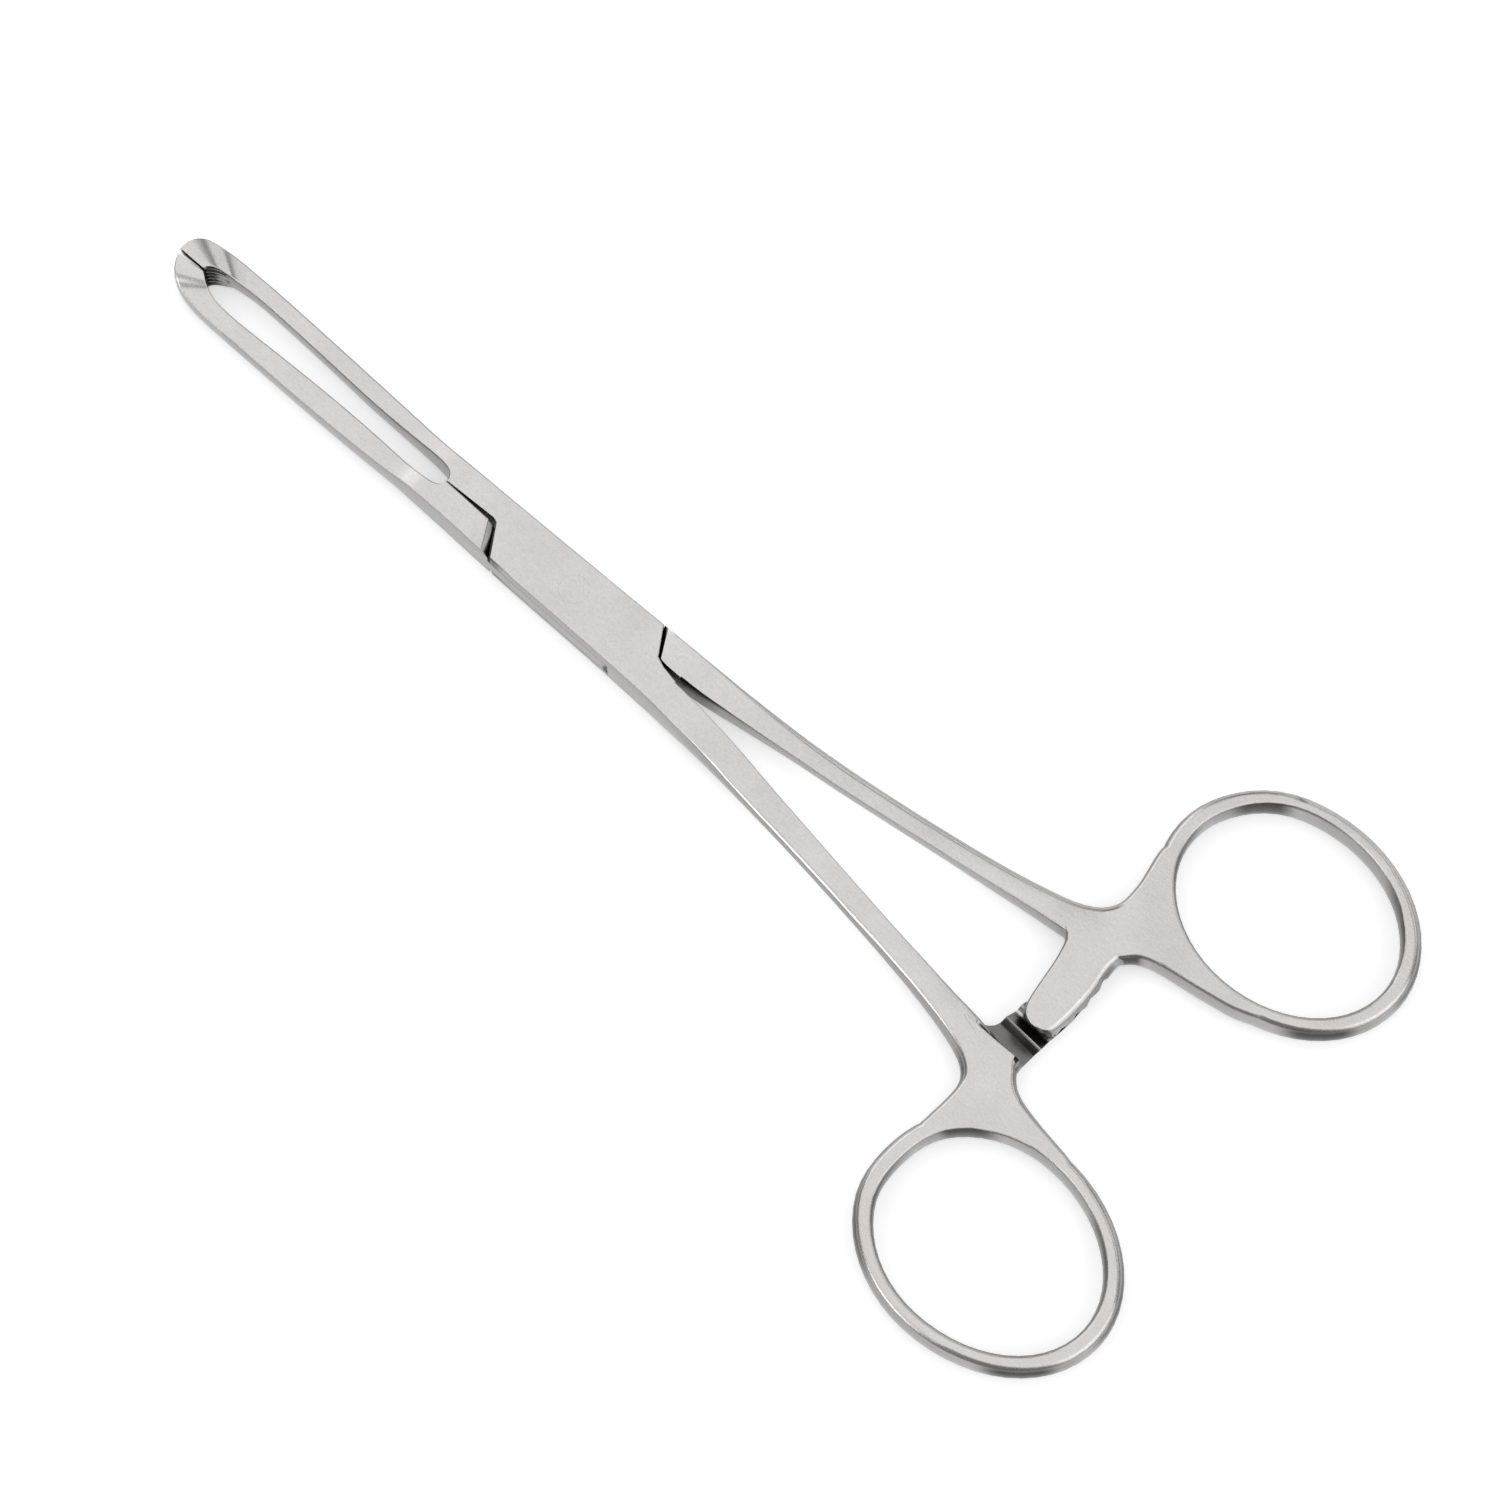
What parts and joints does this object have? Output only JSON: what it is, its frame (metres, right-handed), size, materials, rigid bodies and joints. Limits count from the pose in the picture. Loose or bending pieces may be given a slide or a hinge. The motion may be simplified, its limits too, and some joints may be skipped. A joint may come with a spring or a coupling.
{
  "type": "tissue forceps",
  "caption": "Ring-handled grasping forceps with a box lock, slender jaws that meet in flared toothed tips, and a ratchet that holds them closed.",
  "frame": {"origin": "pivot axis at the underside of the box lock", "axes": "+X from the pivot towards the finger rings, the jaws along -X; +Z along the pivot axis, up when the instrument lies flat"},
  "size_m": [0.1548, 0.0717, 0.0046],
  "materials": {
    "steel": "satin"
  },
  "bodies": {
    "box_half": {"box_arm": "steel", "pivot_pin": "steel"},
    "tenon_half": {"tenon_arm": "steel"}
  },
  "joints": [
    {"name": "pivot", "type": "hinge", "parent": "box_half", "child": "tenon_half", "pos_m": [0, 0, 0.0023], "axis": [0, 0, 1], "range_deg": [0, 50]}
  ]
}
